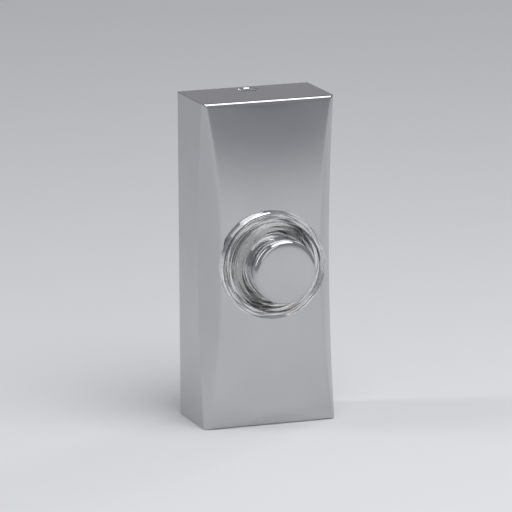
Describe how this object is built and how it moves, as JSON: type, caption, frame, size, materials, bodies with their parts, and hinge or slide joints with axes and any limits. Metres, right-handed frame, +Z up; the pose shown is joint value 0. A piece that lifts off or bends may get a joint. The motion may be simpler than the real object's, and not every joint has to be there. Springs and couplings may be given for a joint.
{
  "type": "doorbell push button",
  "caption": "Tall chrome bell push with a crowned, waisted front, a clear stepped ring and a round sprung button that closes a contact when pressed.",
  "frame": {"origin": "middle of the flat back, where the push meets the wall", "axes": "+Z up the wall along the push's height, +Y into the wall, +X across; the button faces along -Y"},
  "size_m": [0.0336, 0.0302, 0.08],
  "materials": {
    "chrome_plate": "bright chrome plate",
    "base_plastic": "black moulded plastic",
    "plated_steel": "bright zinc plate",
    "clear_plastic": "clear gloss moulding",
    "spring_steel": "drawn spring steel",
    "white_plastic": "natural moulded plastic",
    "contact_brass": "rolled brass",
    "contact_bronze": "rolled phosphor bronze",
    "contact_silver": "bright silver",
    "lamp_resin": "clear resin",
    "tinned_wire": "tinned",
    "resistor_lacquer": "lacquered"
  },
  "bodies": {
    "housing": {"cover": "chrome_plate", "base_plate": "base_plastic", "cover_screw": "plated_steel", "cover_nut": "plated_steel", "lens_ring": "clear_plastic", "lens_clip": "spring_steel", "return_spring": "spring_steel", "fixed_contact": "contact_brass", "fixed_contact_tip": "contact_silver", "moving_contact": "contact_bronze", "terminal_insert_left": "contact_brass", "terminal_insert_right": "contact_brass", "terminal_washer_left": "plated_steel", "terminal_washer_right": "plated_steel", "terminal_screw_left": "contact_brass", "terminal_screw_right": "contact_brass", "lamp": "lamp_resin", "lamp_lead_left": "tinned_wire", "lamp_lead_right": "tinned_wire", "resistor": "resistor_lacquer"},
    "button": {"button_cap": "chrome_plate", "button_plunger": "white_plastic"}
  },
  "joints": [
    {"name": "button_press", "type": "slide", "parent": "housing", "child": "button", "axis": [0, 1, 0], "range_m": [0, 0.0018], "stiffness_N_per_m": 900, "springref_m": -0.002, "deforming": ["return_spring", "moving_contact"]}
  ]
}
